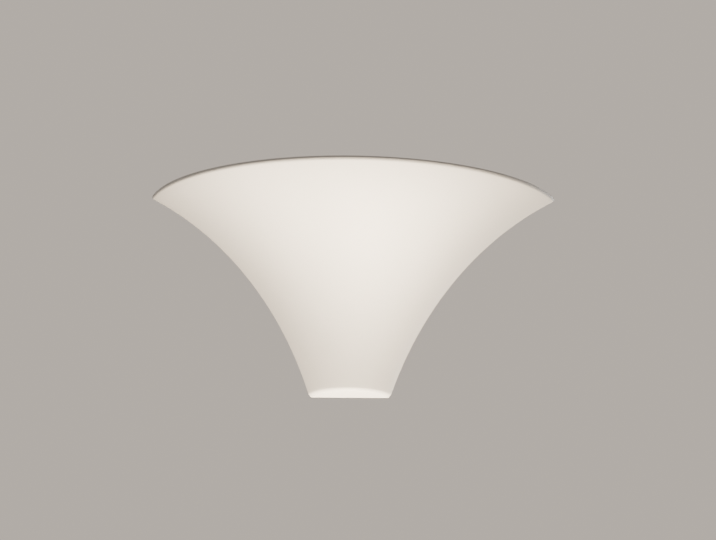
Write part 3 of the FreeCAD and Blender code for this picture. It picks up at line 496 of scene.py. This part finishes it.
def rounded(mesh, edges, offset, segments):
    """Bevel edges to an even round."""
    bmesh.ops.bevel(
        mesh,
        geom=edges,
        offset=offset,
        offset_type="OFFSET",
        segments=segments,
        profile=0.5,
        affect="EDGES",
        clamp_overlap=True,
        material=-1,
    )


def setback(radius, angle):
    """How far from an edge its round starts, where the faces meet at this angle."""
    return radius / math.tan(angle / 2)


# ---------------------------------------------------------------- the ceramic bowl

def rise(level):
    """The height of a level over the flank ellipse's middle, as a share of its half axis."""
    return (level + FLANK_DOWN) / FLANK_HIGH


def lean(level):
    """How fast the half width grows with height."""
    return FLANK_WIDE / FLANK_HIGH * rise(level) / math.sqrt(1 - rise(level) ** 2)


def half_width(level, inset=0.0):
    """Half the bowl's width along the wall; an inset is taken square to the flank."""
    outside = FLANK_OUT - FLANK_WIDE * math.sqrt(1 - rise(level) ** 2)
    return outside - inset * math.sqrt(1 + lean(level) ** 2)


def depth(level, inset=0.0):
    """How far the bowl stands out of the wall; an inset is taken square to the flank."""
    front = DEPTH_SHARE * half_width(level)
    return front - inset * math.sqrt(1 + (DEPTH_SHARE * lean(level)) ** 2)


def rim_turns():
    """The angles round the rim, from where its round leaves the flank up to its flat top.

    The flank leans by a share of 1 at the sides and of DEPTH_SHARE in front, and the round
    starts from a share between the two.
    """
    middle_share = 0.9
    start = -math.atan(middle_share * lean(UNDER_RIM))
    return [start + (math.pi / 2 - start) * i / RIM_STEPS for i in range(RIM_STEPS + 1)]


def flank_end():
    """The level where the outer flank runs into the rim's round."""
    return UNDER_RIM + RIM_ROUND * math.sin(rim_turns()[0])


def flank_levels(floor, first):
    """Levels from the floor to just under the rim's round."""
    last = flank_end()
    return [floor] + [first + (last - first) * i / FLANK_STEPS for i in range(FLANK_STEPS)]


def outer_rings():
    """The outer skin's rings as (half width, depth, level): up the flank, then round the rim."""
    wide, deep = half_width(UNDER_RIM, RIM_ROUND), depth(UNDER_RIM, RIM_ROUND)
    rings = [(half_width(level), depth(level), level) for level in flank_levels(0.0, 6.0)]
    for turn in rim_turns():
        out, up = RIM_ROUND * math.cos(turn), RIM_ROUND * math.sin(turn)
        rings.append((wide + out, deep + out, UNDER_RIM + up))
    return rings


def inner_rings():
    """The inner skin's rings, as many as the outer one's, from the floor to the rim."""
    last = flank_end()
    levels = flank_levels(WALL, 12.5)
    levels += [last + (HEIGHT - last) * i / RIM_STEPS for i in range(RIM_STEPS + 1)]
    return [(half_width(level, WALL), depth(level, WALL), level) for level in levels]


def bowl_skin(mesh, rings):
    """Sweep a D arc up through its rings.  Gives the edges of the lowest and highest one."""
    wide, deep, level = rings[0]
    radius = (wide**2 + deep**2) / (2 * deep)
    tilt = math.asin((radius - deep) / radius)
    start = mesh.verts.new((-wide, 0, FOOT + level))
    before = set(mesh.edges)
    bmesh.ops.spin(
        mesh,
        geom=[start],
        cent=(0, radius - deep, 0),
        axis=(0, 0, 1),
        angle=math.pi - 2 * tilt,
        steps=ARC_STEPS,
        dvec=(0, 0, 0),
        use_duplicate=False,
    )
    ring = [edge for edge in mesh.edges if edge not in before]
    lowest = list(ring)
    for low, high in zip(rings, rings[1:]):
        verts, ring = grown(mesh, ring)
        bmesh.ops.scale(mesh, verts=verts, vec=(high[0] / low[0], high[1] / low[1], 1))
        bmesh.ops.translate(mesh, verts=verts, vec=(0, 0, high[2] - low[2]))
    return lowest, ring


def at_wall(edge):
    """Whether an edge lies in the plane of the wall."""
    return all(abs(vert.co.y) < NEAR for vert in edge.verts)


def back_column(skin, side):
    """The edges of a skin that run up along the wall on one side."""
    return [edge for edge in skin if at_wall(edge) and edge.verts[0].co.x * side > 0]


def closed(mesh, ring):
    """Close an arc of edges with a straight one behind and fill it."""
    ends = [vert for edge in ring for vert in edge.verts if abs(vert.co.y) < NEAR]
    back = mesh.edges.get(ends) or mesh.edges.new(ends)
    bmesh.ops.edgeloop_fill(mesh, edges=ring + [back])
    return back


def level_edge(edge, height):
    """Whether an edge lies at a height, away from the wall, and its faces meet at an angle."""
    level = all(abs(vert.co.z - height) < 10 * NEAR for vert in edge.verts)
    flat_angle = 0.2
    return level and not at_wall(edge) and edge.calc_face_angle(0) > flat_angle


def far_in(edge):
    """Whether an edge of the rim belongs to its inner side."""
    middle = (edge.verts[0].co + edge.verts[1].co) / 2
    within = 0.7 * WALL
    wide, deep = half_width(HEIGHT, within), depth(HEIGHT, within)
    return (middle.x / wide) ** 2 + (middle.y / deep) ** 2 < 1


def ease_back(mesh):
    """Round the two long outer corners along the wall.

    The round is a quarter circle square to the flank, so across the bowl it is longer by the
    flank's slope.  Round the rim it shrinks with the rim's own round, and at the foot, where
    the foot's round takes over, the slope counts less.
    """
    for turn in (90, 75, 60, 45, 30, 15):
        cut(mesh, (0, -BACK_ROUND * (1 - math.cos(math.radians(turn))), 0), (0, 1, 0))
    beyond_inner_skin = 1.2
    for vert in mesh.verts:
        level, back = vert.co.z - FOOT, min(BACK_ROUND + vert.co.y, BACK_ROUND)
        if back < 0 or level < 1:
            continue
        if abs(vert.co.x) < half_width(level, WALL) + beyond_inner_skin:
            continue
        short = BACK_ROUND - math.sqrt(BACK_ROUND**2 - back**2)
        over = (level - UNDER_RIM) / RIM_ROUND
        rim_share = math.sqrt(max(0.01, 1 - over**2))
        if over < 0:
            slope = min(lean(level), 0.25 * level)
            short *= min(math.sqrt(1 + slope**2), 1 / rim_share)
        else:
            short *= rim_share
        vert.co.x -= math.copysign(short, vert.co.x)


def shell():
    """The shell with its floor, rounded rim, foot and back edges."""
    mesh = bmesh.new()
    outer_foot, outer_rim = bowl_skin(mesh, outer_rings())
    outside = list(mesh.edges)
    inner_foot, inner_rim = bowl_skin(mesh, inner_rings())
    known = set(outside)
    inside = [edge for edge in mesh.edges if edge not in known]
    bmesh.ops.bridge_loops(mesh, edges=outer_rim + inner_rim)
    for side in (-1, 1):
        columns = back_column(outside, side) + back_column(inside, side)
        bmesh.ops.bridge_loops(mesh, edges=columns)
    low_back, floor_back = closed(mesh, outer_foot), closed(mesh, inner_foot)
    bmesh.ops.contextual_create(mesh, geom=list(low_back.verts) + list(floor_back.verts))
    bmesh.ops.recalc_face_normals(mesh, faces=mesh.faces)
    rim_angle = math.pi - math.atan(1 / lean(HEIGHT))
    inner_edge = [e for e in mesh.edges if level_edge(e, FOOT + HEIGHT) and far_in(e)]
    rounded(mesh, inner_edge, setback(INNER_RIM_ROUND, rim_angle), 6)
    foot_angle = math.pi / 2 + math.atan(lean(0))
    foot_edge = [e for e in mesh.edges if level_edge(e, FOOT)]
    rounded(mesh, foot_edge, setback(FOOT_ROUND, foot_angle), 8)
    ease_back(mesh)
    return mesh


def crosswall():
    """The wall across the bowl that is clamped to the studs, with its open window."""
    mesh = bmesh.new()
    low, sill = WALL / 2, FOOT + WINDOW_SILL
    bmesh.ops.create_grid(mesh, x_segments=2, y_segments=24, size=1)
    for vert in mesh.verts:
        level = low + (CROSSWALL_TOP - low) * (vert.co.y + 1) / 2
        side = vert.co.x * (half_width(level) - CROSSWALL_INSET)
        vert.co = (side, -CROSSWALL_BACK, FOOT + level)
    for side in (-WINDOW_HALF, WINDOW_HALF):
        cut(mesh, (side, 0, 0), (1, 0, 0))
    cut(mesh, (0, 0, sill), (0, 0, 1))
    middles = [(face, face.calc_center_median()) for face in mesh.faces]
    window = [face for face, mid in middles if abs(mid.x) < WINDOW_HALF and mid.z > sill]
    bmesh.ops.delete(mesh, geom=window, context="FACES")
    bmesh.ops.dissolve_faces(mesh, faces=mesh.faces)
    corners = [
        vert
        for vert in mesh.verts
        if abs(abs(vert.co.x) - WINDOW_HALF) < 10 * NEAR and abs(vert.co.z - sill) < 10 * NEAR
    ]
    bmesh.ops.bevel(
        mesh,
        geom=corners,
        offset=WINDOW_CORNER,
        segments=8,
        profile=0.5,
        affect="VERTICES",
        material=-1,
    )
    front = bmesh.ops.extrude_face_region(mesh, geom=list(mesh.faces), use_keep_orig=True)["geom"]
    bmesh.ops.translate(
        mesh,
        verts=only(bmesh.types.BMVert, front),
        vec=(0, CROSSWALL_BACK - CROSSWALL_FRONT, 0),
    )
    bmesh.ops.recalc_face_normals(mesh, faces=mesh.faces)
    square_angle = 1.0
    top = [
        edge
        for edge in mesh.edges
        if edge.calc_face_angle(0) > square_angle
        and abs(edge.verts[0].co.y - edge.verts[1].co.y) < 10 * NEAR
        and min(vert.co.z for vert in edge.verts) > sill - 1
    ]
    rounded(mesh, top, CROSSWALL_ROUND, 3)
    bmesh.ops.remove_doubles(mesh, verts=mesh.verts, dist=2 * NEAR)
    return mesh


# ---------------------------------------------------------------- threads, grooves and slots

def across(mesh, place):
    """The open edges of a mesh that lie square across the X axis at a place."""
    return [
        edge
        for edge in mesh.edges
        if edge.is_boundary and all(abs(vert.co.x - place) < NEAR for vert in edge.verts)
    ]


def threaded(start, end, radius, thread_depth, pitch, steps=32, rows=6):
    """A rounded screw thread along X, cut square and closed at both ends."""
    mesh = bmesh.new()
    turns = math.ceil((end - start) / pitch) + 2
    chain = [
        mesh.verts.new((
            start - pitch + pitch * i / rows,
            0,
            radius - thread_depth / 2 * (1 - math.cos(math.tau * i / rows)),
        ))
        for i in range(rows + 1)
    ]
    edges = [mesh.edges.new(pair) for pair in zip(chain, chain[1:])]
    bmesh.ops.spin(
        mesh,
        geom=chain + edges,
        cent=(0, 0, 0),
        axis=(1, 0, 0),
        angle=math.tau * turns,
        steps=steps * turns,
        dvec=(pitch / steps, 0, 0),
        use_duplicate=False,
    )
    bmesh.ops.remove_doubles(mesh, verts=mesh.verts, dist=10 * NEAR)
    for place, out in ((start, -1), (end, 1)):
        cut(mesh, (place, 0, 0), (out, 0, 0), trim=True)
        bmesh.ops.holes_fill(mesh, edges=across(mesh, place), sides=0)
    bmesh.ops.remove_doubles(mesh, verts=mesh.verts, dist=2 * NEAR)
    bmesh.ops.recalc_face_normals(mesh, faces=mesh.faces)
    return mesh


def out_of_axis(vert):
    """The distance of a vertex from the X axis."""
    return math.hypot(vert.co.y, vert.co.z)


def column(vert, steps, count):
    """Which of a groove's columns a vertex is in, on a piece turned in so many steps."""
    return round(math.atan2(vert.co.y, vert.co.z) / math.tau * steps) % count


def drawn_in(vert, share):
    """Bring a vertex nearer to the X axis."""
    vert.co.y *= share
    vert.co.z *= share


def fluted(mesh, steps, above, depths, span=(-math.inf, math.inf)):
    """Press grooves into a turned piece: depths is one groove, column by column."""
    for vert in mesh.verts:
        out = out_of_axis(vert)
        if out > above and span[0] < vert.co.x < span[1]:
            drawn_in(vert, (out - depths[column(vert, steps, len(depths))]) / out)


def slotted(mesh, top, half_slot, slot_depth, crossed=False):
    """Cut a driver's slot, or a cross, into a head whose top faces +X."""
    for normal in ((0, 0, 1), (0, 1, 0)) if crossed else ((0, 0, 1),):
        for side in (-1, 1):
            cut(mesh, [half_slot * side * part for part in normal], normal)

    cross_reach, dome_drop, least_facing = 3.2 * half_slot, 0.6, 0.3

    def in_slot(face):
        middle = face.calc_center_median()
        if crossed:
            inside = min(abs(middle.y), abs(middle.z)) < half_slot
            inside = inside and math.hypot(middle.y, middle.z) < cross_reach
        else:
            inside = abs(middle.z) < half_slot
        return inside and middle.x > top - dome_drop and face.normal.x > least_facing

    mesh.normal_update()
    flat = [face for face in mesh.faces if in_slot(face)]
    sunk = bmesh.ops.extrude_face_region(mesh, geom=flat)["geom"]
    bmesh.ops.translate(mesh, verts=only(bmesh.types.BMVert, sunk), vec=(-slot_depth, 0, 0))
    bmesh.ops.delete(mesh, geom=[face for face in flat if face.is_valid], context="FACES")


# ---------------------------------------------------------------- what clamps the bowl

def washer(hole, radius, back, front, edge):
    """A ring with rounded outer edges, made along X."""
    soft = edge * 0.3
    profile = [
        (back, hole),
        (back, radius - edge),
        (back + soft, radius - soft),
        (back + edge, radius),
        (front - edge, radius),
        (front - soft, radius - soft),
        (front, radius - edge),
        (front, hole),
    ]
    return turned(profile, 48)


def rear_cushion():
    """The soft ring behind the cross wall."""
    return washer(STUD_HOLE, CUSHION_R, EAR_FRONT, CROSSWALL_BACK, 0.45)


def front_cushion():
    """The soft ring before the cross wall."""
    return washer(STUD_HOLE, CUSHION_R, CROSSWALL_FRONT, WASHER_BACK, 0.45)


def flat_washer():
    """The steel ring under the nut."""
    return washer(STUD_HOLE, WASHER_R, WASHER_BACK, NUT_BACK, 0.15)


def stud():
    """A pressed stud: flat head behind the ear, threaded shank and chamfered tip."""
    head_back, head_front, head_r = 0.3, 1.5, 4.0
    pitch, tip = 0.8, STUD_END - 0.8
    head = turned([
        (head_back, 0),
        (head_back, head_r - 0.3),
        (head_back + 0.3, head_r),
        (head_front - 0.2, head_r),
        (head_front, head_r - 0.2),
        (head_front, 0),
    ], 40)
    shank = threaded(head_front, tip, STUD_R, 0.45, pitch, 28, 4)
    end = turned([(tip, 0), (tip, 2.3), (STUD_END, 1.7), (STUD_END, 0)], 28)
    return joined([head, shank, end])


def knurled_nut():
    """A thumb nut with a collar and sixteen scallops round its edge."""
    back, front, shoulder = NUT_BACK, NUT_FRONT, NUT_BACK + 1.5
    profile = [
        (back, STUD_R),
        (back, NUT_COLLAR - 0.3),
        (back + 0.3, NUT_COLLAR),
        (shoulder, NUT_COLLAR),
        (shoulder, NUT_R - 0.3),
        (shoulder + 0.3, NUT_R),
        (front - 0.6, NUT_R),
        (front - 0.2, NUT_R - 0.25),
        (front, NUT_R - 0.7),
        (front, STUD_R + 0.5),
        (front - 0.4, STUD_R),
    ]
    mesh = turned(profile, 128)
    fluted(mesh, 128, NUT_R - 1.0, (0.62, 0.5, 0.2, 0, 0, 0, 0.2, 0.5))
    return mesh


# ---------------------------------------------------------------- the lamp and its holder

def arc(along, out, radius, start, end, steps):
    """Points on an arc of a profile; the angles are in degrees."""
    turns = [math.radians(start + (end - start) * i / steps) for i in range(steps + 1)]
    return [(along + radius * math.cos(turn), out + radius * math.sin(turn)) for turn in turns]


def from_rear(*profile):
    """A profile of the holder, which is counted from the holder's rear."""
    return [(HOLDER_REAR + along, out) for along, out in profile]


def lamp_glass():
    """Opal globe, hollow curve and neck."""
    run, neck_end = GLOBE_X - FLARE_X, FLARE_X - 6
    flare_r = (run**2 + NECK_R**2 - GLOBE_R**2) / (2 * (GLOBE_R - NECK_R))
    flare_out = NECK_R + flare_r
    meet = math.degrees(math.atan2(flare_out, FLARE_X - GLOBE_X))
    outer = [(neck_end, NECK_R)]
    outer += arc(FLARE_X, flare_out, flare_r, -90, meet - 180, 20)
    outer += arc(GLOBE_X, 0, GLOBE_R, meet, 0, 40)[1:]
    inner = arc(GLOBE_X, 0, GLOBE_R - GLASS_WALL, 0, meet, 24)
    inner += arc(FLARE_X, flare_out, flare_r + GLASS_WALL, meet - 180, -90, 12)[1:]
    inner += [(neck_end, NECK_R - GLASS_WALL)]
    return on_lamp_axis(turned(outer + inner, 72))


def lamp_cap():
    """Rolled screw cap: a helical thread, a smooth collar and the crimp that holds the glass."""
    start, collar, end = CAP_START, CAP_COLLAR, CAP_END
    skin = threaded(start + 1.0, collar, CAP_R, 0.75, THREAD_PITCH, 48, 10)
    rear = turned([
        (start, 4.6),
        (start, 6.2),
        (start + 0.4, 6.4),
        (start + 1.0, 6.5),
        (start + 1.0, 5.6),
        (start + 0.4, 4.6),
    ], 48)
    front = turned([
        (collar, 5.9),
        (collar, 6.35),
        (collar + 0.5, 6.75),
        (collar + 1.2, CAP_R),
        (end - 0.5, CAP_R),
        (end - 0.1, 6.8),
        (end, 6.6),
        (end, 6.45),
        (end - 0.6, 6.42),
    ], 48)
    return on_lamp_axis(joined([skin, rear, front]))


def holder_skirt():
    """The moulded skirt with grip ribs over its long side."""
    profile = from_rear(
        (13, 12.4), (13, 13.7), (13.3, 14.0), (15.7, 14.0), (16.0, 13.85), (17, 13.5),
        (19, 13.5), (20, 13.5), (33, 13.25), (34, 13.1), (39.2, 13.0), (40.6, 12.6),
        (41.3, 11.9), (41.5, 11.2), (41.5, 8.7), (41.2, 8.4), (39.9, 8.4), (39.3, 11.4),
        (17, 12.0),
    )
    ribs = (HOLDER_REAR + 19.5, HOLDER_REAR + 33.5)
    mesh = turned(profile, 144)
    fluted(mesh, 144, 12.5, (0.45, 0.3, 0.0, 0.3), ribs)
    return on_lamp_axis(mesh)


def holder_dome():
    """The rear half of the holder."""
    profile = from_rear(
        (0, 5.0), (0, 7.4), (0.2, 8.0), (1.2, 9.9), (2.5, 11.4), (4.1, 12.6), (6, 13.15),
        (8, 13.2), (12.4, 13.2), (12.7, 12.9), (13, 12.9), (13, 11.7), (6, 11.7), (3.8, 10.4),
        (2, 8), (2, 5.0),
    )
    return on_lamp_axis(turned(profile, 96))


def hollow_tube():
    """The threaded tube behind the holder."""
    steps, pitch = 36, 1.0
    mesh = threaded(TUBE_START, TUBE_END, TUBE_R, 0.35, pitch, steps, 4)
    mesh.normal_update()
    caps = [face for face in mesh.faces if abs(face.normal.x) > 0.99]
    bmesh.ops.delete(mesh, geom=caps, context="FACES_ONLY")
    mouths = [across(mesh, place) for place in (TUBE_START, TUBE_END)]
    facing = Matrix.Translation((TUBE_START, 0, 0)) @ Matrix.Rotation(math.pi / 2, 4, "Y")
    circle = bmesh.ops.create_circle(mesh, segments=steps, radius=TUBE_BORE, matrix=facing)
    near = list({edge for vert in circle["verts"] for edge in vert.link_edges})
    fresh, far = grown(mesh, near)
    bmesh.ops.translate(mesh, verts=fresh, vec=(TUBE_END - TUBE_START, 0, 0))
    for mouth, ring in zip(mouths, (near, far)):
        bmesh.ops.triangle_fill(mesh, use_beauty=True, edges=mouth + ring)
    bmesh.ops.recalc_face_normals(mesh, faces=mesh.faces)
    return on_lamp_axis(mesh)


def toothed_washer():
    """An external toothed lock washer, its teeth twisted; a tooth is four columns out of six."""
    steps, twist = 96, (-0.18, -0.06, 0.06, 0.18)
    mesh = turned([
        (TOOTH_BACK, TOOTH_HOLE),
        (TOOTH_BACK, TOOTH_ROOT),
        (TOOTH_BACK, TOOTH_TIP),
        (TOOTH_FRONT, TOOTH_TIP),
        (TOOTH_FRONT, TOOTH_ROOT),
        (TOOTH_FRONT, TOOTH_HOLE),
    ], steps)
    for vert in mesh.verts:
        if out_of_axis(vert) < TOOTH_TIP - 0.4:
            continue
        place = column(vert, steps, 6)
        if place < len(twist):
            vert.co.x += twist[place]
        else:
            drawn_in(vert, 0.80)
    return on_lamp_axis(mesh)


# ---------------------------------------------------------------- the screws

def small_screw(head_r, seat, place, crossed=False):
    """A pan-head screw that is driven towards the wall."""
    top = seat + HEAD_HEIGHT
    mesh = turned([
        (0.2, 0),
        (0.2, SHANK_R),
        (seat, SHANK_R),
        (seat, head_r - 0.1),
        (seat + 0.15, head_r),
        (seat + 1.0, head_r),
        (seat + 1.5, head_r - 0.25),
        (seat + 1.85, head_r - 0.7),
        (top, head_r - 1.2),
        (top, 0.9),
        (top, 0),
    ], 40)
    slotted(mesh, top, 0.36, 0.9, crossed)
    return faced_forward(mesh, place)


def foot_screws():
    """The two screws that hold the lampholder's angle."""
    ups = (FOOT_SCREW_UP, -FOOT_SCREW_UP)
    return joined([small_screw(2.8, 3.5, (FOOT_SCREW_X, 0, LAMP_Z + up), True) for up in ups])


def mid_screw():
    """The screw that holds the terminal block."""
    return small_screw(2.2, 6.0, (BLOCK_X, 0, BLOCK_Z))


def terminal_screw(place):
    """A grub screw in the terminal block, slotted."""
    mesh = turned([
        (GRUB_START, 0),
        (GRUB_START, GRUB_R),
        (GRUB_TOP - 0.2, GRUB_R),
        (GRUB_TOP, GRUB_R - 0.2),
        (GRUB_TOP, 0.8),
        (GRUB_TOP, 0),
    ], 32)
    slotted(mesh, GRUB_TOP, 0.3, 0.7)
    return faced_forward(mesh, place)


def grub_screws():
    """The four screws of the terminal block."""
    asides, ups = (-GRUB_ASIDE, GRUB_ASIDE), (-GRUB_UP, GRUB_UP)
    places = [(BLOCK_X + aside, 0, BLOCK_Z + up) for aside in asides for up in ups]
    return joined([terminal_screw(place) for place in places])


def ground_stud():
    """The threaded stud for the earth wire."""
    thread = threaded(0.05, EARTH_TIP, EARTH_R, 0.35, 0.7, 28, 4)
    tip = turned([(EARTH_TIP, 0), (EARTH_TIP, 1.85), (EARTH_END, 1.35), (EARTH_END, 0)], 28)
    return faced_forward(joined([thread, tip]), (EARTH_X, 0, EARTH_Z))


# ---------------------------------------------------------------- the scene

# name, mesh, solid that it stands for, body, finish, crease in degrees
PIECES = [
    ("bowl", joined([shell(), crosswall()]), "shade", "root", "ceramic", 40),
    ("lamp_bulb", lamp_glass(), "lamp_glass", "lamp", "opal_glass", 35),
    ("screw_cap", lamp_cap(), "lamp_cap", "lamp", "cap_metal", 50),
    ("studs", at_studs(stud), "fixing_studs", "root", "zinc_steel", 40),
    ("thumb_nuts", at_studs(knurled_nut), "knurled_nuts", "root", "brass", 30),
    ("soft_rear_washers", at_studs(rear_cushion), "rear_cushions", "root", "silicone", 35),
    ("soft_front_washers", at_studs(front_cushion), "front_cushions", "root", "silicone", 35),
    ("flat_washers", at_studs(flat_washer), "steel_washers", "root", "zinc_steel", 35),
    ("skirt", holder_skirt(), "lampholder_skirt", "root", "holder_plastic", 50),
    ("dome", holder_dome(), "lampholder_dome", "root", "holder_plastic", 35),
    ("tube", hollow_tube(), "threaded_tube", "root", "zinc_steel", 40),
    ("lock_washer", toothed_washer(), "toothed_washer", "root", "zinc_steel", 30),
    ("foot_screws", foot_screws(), "bracket_screws", "root", "zinc_steel", 35),
    ("mid_screw", mid_screw(), "block_screw", "root", "zinc_steel", 35),
    ("grub_screws", grub_screws(), "terminal_screws", "root", "zinc_steel", 35),
    ("ground_stud", ground_stud(), "earth_stud", "root", "zinc_steel", 40),
]

camera()
surroundings()
dress_solids()
for piece in PIECES:
    finished(*piece)
